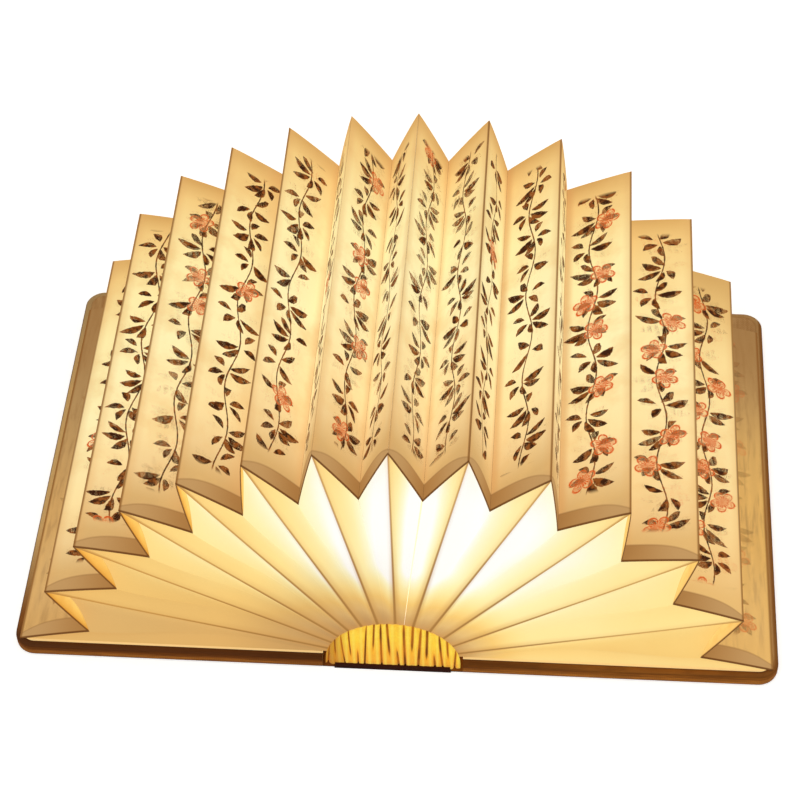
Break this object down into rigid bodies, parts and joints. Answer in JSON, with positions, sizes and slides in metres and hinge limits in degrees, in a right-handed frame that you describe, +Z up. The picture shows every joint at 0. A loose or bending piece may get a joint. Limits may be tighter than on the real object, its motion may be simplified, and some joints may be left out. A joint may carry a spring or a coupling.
{
  "type": "folding book lamp",
  "caption": "Hard-cover book that opens flat and fans a pleated, glowing paper shade over a half circle, with a lit core and charging inlet in its spine.",
  "frame": {"origin": "under the middle of the spine, on the surface the open book lies on", "axes": "+X across the covers to the right, +Y along the spine to its rear end, +Z up"},
  "size_m": [0.332, 0.215, 0.1417],
  "materials": {
    "cover_board": "grey-brown pressed board",
    "cover_cloth": "brown book cloth, worn along the edges",
    "endpaper": "plain cream paper",
    "page_paper": null,
    "gusset_paper": "translucent cream paper, lit from inside",
    "headband": "gathered golden cloth",
    "spine_plastic": "moulded, matt",
    "tray_plastic": "moulded, matt",
    "battery_wrap": "shrink wrap",
    "circuit_board": "solder mask",
    "light_board": "white coated",
    "diode": "phosphor",
    "diffuser": "frosted",
    "steel": "plated",
    "reed_glass": "clear tube",
    "magnet": "plated"
  },
  "bodies": {
    "spine": {"spine_board": "spine_plastic", "spine_cloth": "cover_cloth", "core_tray": "tray_plastic", "battery": "battery_wrap", "charging_board": "circuit_board", "charging_inlet": "steel", "light_board": "light_board", "light_diodes": "diode", "diffuser": "diffuser", "reed_switch": "reed_glass", "tray_screws": "steel", "front_headband": "headband", "rear_headband": "headband"},
    "left_cover": {"left_cover_board": "cover_board", "left_cover_cloth": "cover_cloth", "left_endpaper": "endpaper", "left_cover_gusset": "gusset_paper", "switch_magnet": "magnet"},
    "right_cover": {"right_cover_board": "cover_board", "right_cover_cloth": "cover_cloth", "right_endpaper": "endpaper", "right_cover_gusset": "gusset_paper"},
    "page_01": {"page_01_gusset": "gusset_paper"},
    "page_02": {"page_02_gusset": "gusset_paper"},
    "page_03": {"page_03_gusset": "gusset_paper"},
    "page_04": {"page_04_gusset": "gusset_paper"},
    "page_05": {"page_05_gusset": "gusset_paper"},
    "page_06": {"page_06_gusset": "gusset_paper"},
    "page_07": {"page_07_gusset": "gusset_paper"},
    "page_08": {"page_08_gusset": "gusset_paper"},
    "page_09": {"page_09_gusset": "gusset_paper"},
    "page_10": {"page_10_gusset": "gusset_paper"},
    "page_11": {"page_11_gusset": "gusset_paper"},
    "page_12": {"page_12_gusset": "gusset_paper"},
    "left_cover_leaf": {"left_cover_leaf": "page_paper"},
    "page_01_left_leaf": {"page_01_left_leaf": "page_paper"},
    "page_01_right_leaf": {"page_01_right_leaf": "page_paper"},
    "page_02_left_leaf": {"page_02_left_leaf": "page_paper"},
    "page_02_right_leaf": {"page_02_right_leaf": "page_paper"},
    "page_03_left_leaf": {"page_03_left_leaf": "page_paper"},
    "page_03_right_leaf": {"page_03_right_leaf": "page_paper"},
    "page_04_left_leaf": {"page_04_left_leaf": "page_paper"},
    "page_04_right_leaf": {"page_04_right_leaf": "page_paper"},
    "page_05_left_leaf": {"page_05_left_leaf": "page_paper"},
    "page_05_right_leaf": {"page_05_right_leaf": "page_paper"},
    "page_06_left_leaf": {"page_06_left_leaf": "page_paper"},
    "page_06_right_leaf": {"page_06_right_leaf": "page_paper"},
    "page_07_left_leaf": {"page_07_left_leaf": "page_paper"},
    "page_07_right_leaf": {"page_07_right_leaf": "page_paper"},
    "page_08_left_leaf": {"page_08_left_leaf": "page_paper"},
    "page_08_right_leaf": {"page_08_right_leaf": "page_paper"},
    "page_09_left_leaf": {"page_09_left_leaf": "page_paper"},
    "page_09_right_leaf": {"page_09_right_leaf": "page_paper"},
    "page_10_left_leaf": {"page_10_left_leaf": "page_paper"},
    "page_10_right_leaf": {"page_10_right_leaf": "page_paper"},
    "page_11_left_leaf": {"page_11_left_leaf": "page_paper"},
    "page_11_right_leaf": {"page_11_right_leaf": "page_paper"},
    "page_12_left_leaf": {"page_12_left_leaf": "page_paper"},
    "page_12_right_leaf": {"page_12_right_leaf": "page_paper"},
    "right_cover_leaf": {"right_cover_leaf": "page_paper"}
  },
  "joints": [
    {"name": "left_cover_fold", "type": "hinge", "parent": "spine", "child": "left_cover", "pos_m": [-0.02539, 0, 0.0008], "axis": [0, 1, 0], "range_deg": [0, 90], "deforming": ["left_cover_gusset", "front_headband", "rear_headband"]},
    {"name": "right_cover_fold", "type": "hinge", "parent": "spine", "child": "right_cover", "pos_m": [0.02539, 0, 0.0008], "axis": [0, -1, 0], "range_deg": [0, 90], "deforming": ["right_cover_gusset"]},
    {"name": "page_01_fold", "type": "hinge", "parent": "spine", "child": "page_01", "pos_m": [-0.017, 0, 0.0057], "axis": [0, 1, 0], "range_deg": [0, 75], "deforming": ["page_01_gusset"]},
    {"name": "page_02_fold", "type": "hinge", "parent": "spine", "child": "page_02", "pos_m": [-0.01391, 0, 0.0057], "axis": [0, 1, 0], "range_deg": [0, 60.1], "deforming": ["page_02_gusset"]},
    {"name": "page_03_fold", "type": "hinge", "parent": "spine", "child": "page_03", "pos_m": [-0.01082, 0, 0.0057], "axis": [0, 1, 0], "range_deg": [0, 46.75], "deforming": ["page_03_gusset"]},
    {"name": "page_04_fold", "type": "hinge", "parent": "spine", "child": "page_04", "pos_m": [-0.00773, 0, 0.0057], "axis": [0, 1, 0], "range_deg": [0, 34.52], "deforming": ["page_04_gusset"]},
    {"name": "page_05_fold", "type": "hinge", "parent": "spine", "child": "page_05", "pos_m": [-0.00464, 0, 0.0057], "axis": [0, 1, 0], "range_deg": [0, 22.98], "deforming": ["page_05_gusset"]},
    {"name": "page_06_fold", "type": "hinge", "parent": "spine", "child": "page_06", "pos_m": [-0.00154, 0, 0.0057], "axis": [0, 1, 0], "range_deg": [0, 11.69], "deforming": ["page_06_gusset"]},
    {"name": "page_07_fold", "type": "hinge", "parent": "spine", "child": "page_07", "pos_m": [0.00154, 0, 0.0057], "axis": [0, 1, 0], "range_deg": [0, 0.2146], "deforming": ["page_07_gusset"]},
    {"name": "page_08_fold", "type": "hinge", "parent": "spine", "child": "page_08", "pos_m": [0.00464, 0, 0.0057], "axis": [0, -1, 0], "range_deg": [0, 11.87], "deforming": ["page_08_gusset"]},
    {"name": "page_09_fold", "type": "hinge", "parent": "spine", "child": "page_09", "pos_m": [0.00773, 0, 0.0057], "axis": [0, -1, 0], "range_deg": [0, 25], "deforming": ["page_09_gusset"]},
    {"name": "page_10_fold", "type": "hinge", "parent": "spine", "child": "page_10", "pos_m": [0.01082, 0, 0.0057], "axis": [0, -1, 0], "range_deg": [0, 39.61], "deforming": ["page_10_gusset"]},
    {"name": "page_11_fold", "type": "hinge", "parent": "spine", "child": "page_11", "pos_m": [0.01391, 0, 0.0057], "axis": [0, -1, 0], "range_deg": [0, 56.13], "deforming": ["page_11_gusset"]},
    {"name": "page_12_fold", "type": "hinge", "parent": "spine", "child": "page_12", "pos_m": [0.017, 0, 0.0057], "axis": [0, -1, 0], "range_deg": [0, 75], "deforming": ["page_12_gusset"]},
    {"name": "left_cover_leaf_fold", "type": "hinge", "parent": "left_cover", "child": "left_cover_leaf", "pos_m": [-0.1625, 0, 0.0061], "axis": [0, 1, 0], "range_deg": [0, 12.34]},
    {"name": "page_01_left_leaf_fold", "type": "hinge", "parent": "page_01", "child": "page_01_left_leaf", "pos_m": [-0.1474, 0, 0.04064], "axis": [0, -1, 0], "range_deg": [0, 44.57]},
    {"name": "page_01_right_leaf_fold", "type": "hinge", "parent": "page_01", "child": "page_01_right_leaf", "pos_m": [-0.1474, 0, 0.04064], "axis": [0, 1, 0], "range_deg": [0, 22.42]},
    {"name": "page_02_left_leaf_fold", "type": "hinge", "parent": "page_02", "child": "page_02_left_leaf", "pos_m": [-0.13094, 0, 0.07299], "axis": [0, -1, 0], "range_deg": [0, 31.45]},
    {"name": "page_02_right_leaf_fold", "type": "hinge", "parent": "page_02", "child": "page_02_right_leaf", "pos_m": [-0.13094, 0, 0.07299], "axis": [0, 1, 0], "range_deg": [0, 20.18]},
    {"name": "page_03_left_leaf_fold", "type": "hinge", "parent": "page_03", "child": "page_03_left_leaf", "pos_m": [-0.10915, 0, 0.09819], "axis": [0, -1, 0], "range_deg": [0, 28.72]},
    {"name": "page_03_right_leaf_fold", "type": "hinge", "parent": "page_03", "child": "page_03_right_leaf", "pos_m": [-0.10915, 0, 0.09819], "axis": [0, 1, 0], "range_deg": [0, 19.04]},
    {"name": "page_04_left_leaf_fold", "type": "hinge", "parent": "page_04", "child": "page_04_left_leaf", "pos_m": [-0.08424, 0, 0.11693], "axis": [0, -1, 0], "range_deg": [0, 26.44]},
    {"name": "page_04_right_leaf_fold", "type": "hinge", "parent": "page_04", "child": "page_04_right_leaf", "pos_m": [-0.08424, 0, 0.11693], "axis": [0, 1, 0], "range_deg": [0, 18.91]},
    {"name": "page_05_left_leaf_fold", "type": "hinge", "parent": "page_05", "child": "page_05_left_leaf", "pos_m": [-0.05734, 0, 0.12999], "axis": [0, -1, 0], "range_deg": [0, 24.61]},
    {"name": "page_05_right_leaf_fold", "type": "hinge", "parent": "page_05", "child": "page_05_right_leaf", "pos_m": [-0.05734, 0, 0.12999], "axis": [0, 1, 0], "range_deg": [0, 19.72]},
    {"name": "page_06_left_leaf_fold", "type": "hinge", "parent": "page_06", "child": "page_06_left_leaf", "pos_m": [-0.02889, 0, 0.1379], "axis": [0, -1, 0], "range_deg": [0, 23.29]},
    {"name": "page_06_right_leaf_fold", "type": "hinge", "parent": "page_06", "child": "page_06_right_leaf", "pos_m": [-0.02889, 0, 0.1379], "axis": [0, 1, 0], "range_deg": [0, 21.36]},
    {"name": "page_07_left_leaf_fold", "type": "hinge", "parent": "page_07", "child": "page_07_left_leaf", "pos_m": [0.00104, 0, 0.1407], "axis": [0, -1, 0], "range_deg": [0, 22.58]},
    {"name": "page_07_right_leaf_fold", "type": "hinge", "parent": "page_07", "child": "page_07_right_leaf", "pos_m": [0.00104, 0, 0.1407], "axis": [0, 1, 0], "range_deg": [0, 23.73]},
    {"name": "page_08_left_leaf_fold", "type": "hinge", "parent": "page_08", "child": "page_08_left_leaf", "pos_m": [0.03241, 0, 0.13781], "axis": [0, -1, 0], "range_deg": [0, 22.59]},
    {"name": "page_08_right_leaf_fold", "type": "hinge", "parent": "page_08", "child": "page_08_right_leaf", "pos_m": [0.03241, 0, 0.13781], "axis": [0, 1, 0], "range_deg": [0, 26.76]},
    {"name": "page_09_left_leaf_fold", "type": "hinge", "parent": "page_09", "child": "page_09_left_leaf", "pos_m": [0.06479, 0, 0.12805], "axis": [0, -1, 0], "range_deg": [0, 23.45]},
    {"name": "page_09_right_leaf_fold", "type": "hinge", "parent": "page_09", "child": "page_09_right_leaf", "pos_m": [0.06479, 0, 0.12805], "axis": [0, 1, 0], "range_deg": [0, 30.4]},
    {"name": "page_10_left_leaf_fold", "type": "hinge", "parent": "page_10", "child": "page_10_left_leaf", "pos_m": [0.09689, 0, 0.1097], "axis": [0, -1, 0], "range_deg": [0, 25.28]},
    {"name": "page_10_right_leaf_fold", "type": "hinge", "parent": "page_10", "child": "page_10_right_leaf", "pos_m": [0.09689, 0, 0.1097], "axis": [0, 1, 0], "range_deg": [0, 34.67]},
    {"name": "page_11_left_leaf_fold", "type": "hinge", "parent": "page_11", "child": "page_11_left_leaf", "pos_m": [0.12601, 0, 0.08093], "axis": [0, -1, 0], "range_deg": [0, 28.25]},
    {"name": "page_11_right_leaf_fold", "type": "hinge", "parent": "page_11", "child": "page_11_right_leaf", "pos_m": [0.12601, 0, 0.08093], "axis": [0, 1, 0], "range_deg": [0, 39.7]},
    {"name": "page_12_left_leaf_fold", "type": "hinge", "parent": "page_12", "child": "page_12_left_leaf", "pos_m": [0.1474, 0, 0.04064], "axis": [0, -1, 0], "range_deg": [0, 32.62]},
    {"name": "page_12_right_leaf_fold", "type": "hinge", "parent": "page_12", "child": "page_12_right_leaf", "pos_m": [0.1474, 0, 0.04064], "axis": [0, 1, 0], "range_deg": [0, 44.57]},
    {"name": "right_cover_leaf_fold", "type": "hinge", "parent": "right_cover", "child": "right_cover_leaf", "pos_m": [0.1625, 0, 0.0061], "axis": [0, -1, 0], "range_deg": [0, 12.34]}
  ],
  "couplings": [
    {"joint": "page_01_fold", "follows": "left_cover_fold", "ratio": 0.83333},
    {"joint": "page_02_fold", "follows": "left_cover_fold", "ratio": 0.66779},
    {"joint": "page_03_fold", "follows": "left_cover_fold", "ratio": 0.51948},
    {"joint": "page_04_fold", "follows": "left_cover_fold", "ratio": 0.3836},
    {"joint": "page_05_fold", "follows": "left_cover_fold", "ratio": 0.25532},
    {"joint": "page_06_fold", "follows": "left_cover_fold", "ratio": 0.12985},
    {"joint": "page_07_fold", "follows": "left_cover_fold", "ratio": 0.002379},
    {"joint": "page_08_fold", "follows": "right_cover_fold", "ratio": 0.13191},
    {"joint": "page_09_fold", "follows": "right_cover_fold", "ratio": 0.27781},
    {"joint": "page_10_fold", "follows": "right_cover_fold", "ratio": 0.44015},
    {"joint": "page_11_fold", "follows": "right_cover_fold", "ratio": 0.62372},
    {"joint": "page_12_fold", "follows": "right_cover_fold", "ratio": 0.83333},
    {"joint": "left_cover_leaf_fold", "follows": "left_cover_fold", "ratio": 0.13711},
    {"joint": "page_01_left_leaf_fold", "follows": "left_cover_fold", "ratio": 0.49518},
    {"joint": "page_01_right_leaf_fold", "follows": "left_cover_fold", "ratio": 0.24909},
    {"joint": "page_02_left_leaf_fold", "follows": "left_cover_fold", "ratio": 0.34939},
    {"joint": "page_02_right_leaf_fold", "follows": "left_cover_fold", "ratio": 0.22418},
    {"joint": "page_03_left_leaf_fold", "follows": "left_cover_fold", "ratio": 0.31914},
    {"joint": "page_03_right_leaf_fold", "follows": "left_cover_fold", "ratio": 0.21154},
    {"joint": "page_04_left_leaf_fold", "follows": "left_cover_fold", "ratio": 0.29382},
    {"joint": "page_04_right_leaf_fold", "follows": "left_cover_fold", "ratio": 0.21015},
    {"joint": "page_05_left_leaf_fold", "follows": "left_cover_fold", "ratio": 0.27348},
    {"joint": "page_05_right_leaf_fold", "follows": "left_cover_fold", "ratio": 0.21908},
    {"joint": "page_06_left_leaf_fold", "follows": "left_cover_fold", "ratio": 0.25879},
    {"joint": "page_06_right_leaf_fold", "follows": "left_cover_fold", "ratio": 0.23727},
    {"joint": "page_07_left_leaf_fold", "follows": "left_cover_fold", "ratio": 0.25084},
    {"joint": "page_07_right_leaf_fold", "follows": "right_cover_fold", "ratio": 0.26364},
    {"joint": "page_08_left_leaf_fold", "follows": "right_cover_fold", "ratio": 0.25096},
    {"joint": "page_08_right_leaf_fold", "follows": "right_cover_fold", "ratio": 0.2973},
    {"joint": "page_09_left_leaf_fold", "follows": "right_cover_fold", "ratio": 0.2605},
    {"joint": "page_09_right_leaf_fold", "follows": "right_cover_fold", "ratio": 0.33777},
    {"joint": "page_10_left_leaf_fold", "follows": "right_cover_fold", "ratio": 0.28087},
    {"joint": "page_10_right_leaf_fold", "follows": "right_cover_fold", "ratio": 0.3852},
    {"joint": "page_11_left_leaf_fold", "follows": "right_cover_fold", "ratio": 0.31385},
    {"joint": "page_11_right_leaf_fold", "follows": "right_cover_fold", "ratio": 0.44105},
    {"joint": "page_12_left_leaf_fold", "follows": "right_cover_fold", "ratio": 0.36245},
    {"joint": "page_12_right_leaf_fold", "follows": "right_cover_fold", "ratio": 0.49518},
    {"joint": "right_cover_leaf_fold", "follows": "right_cover_fold", "ratio": 0.13711}
  ]
}
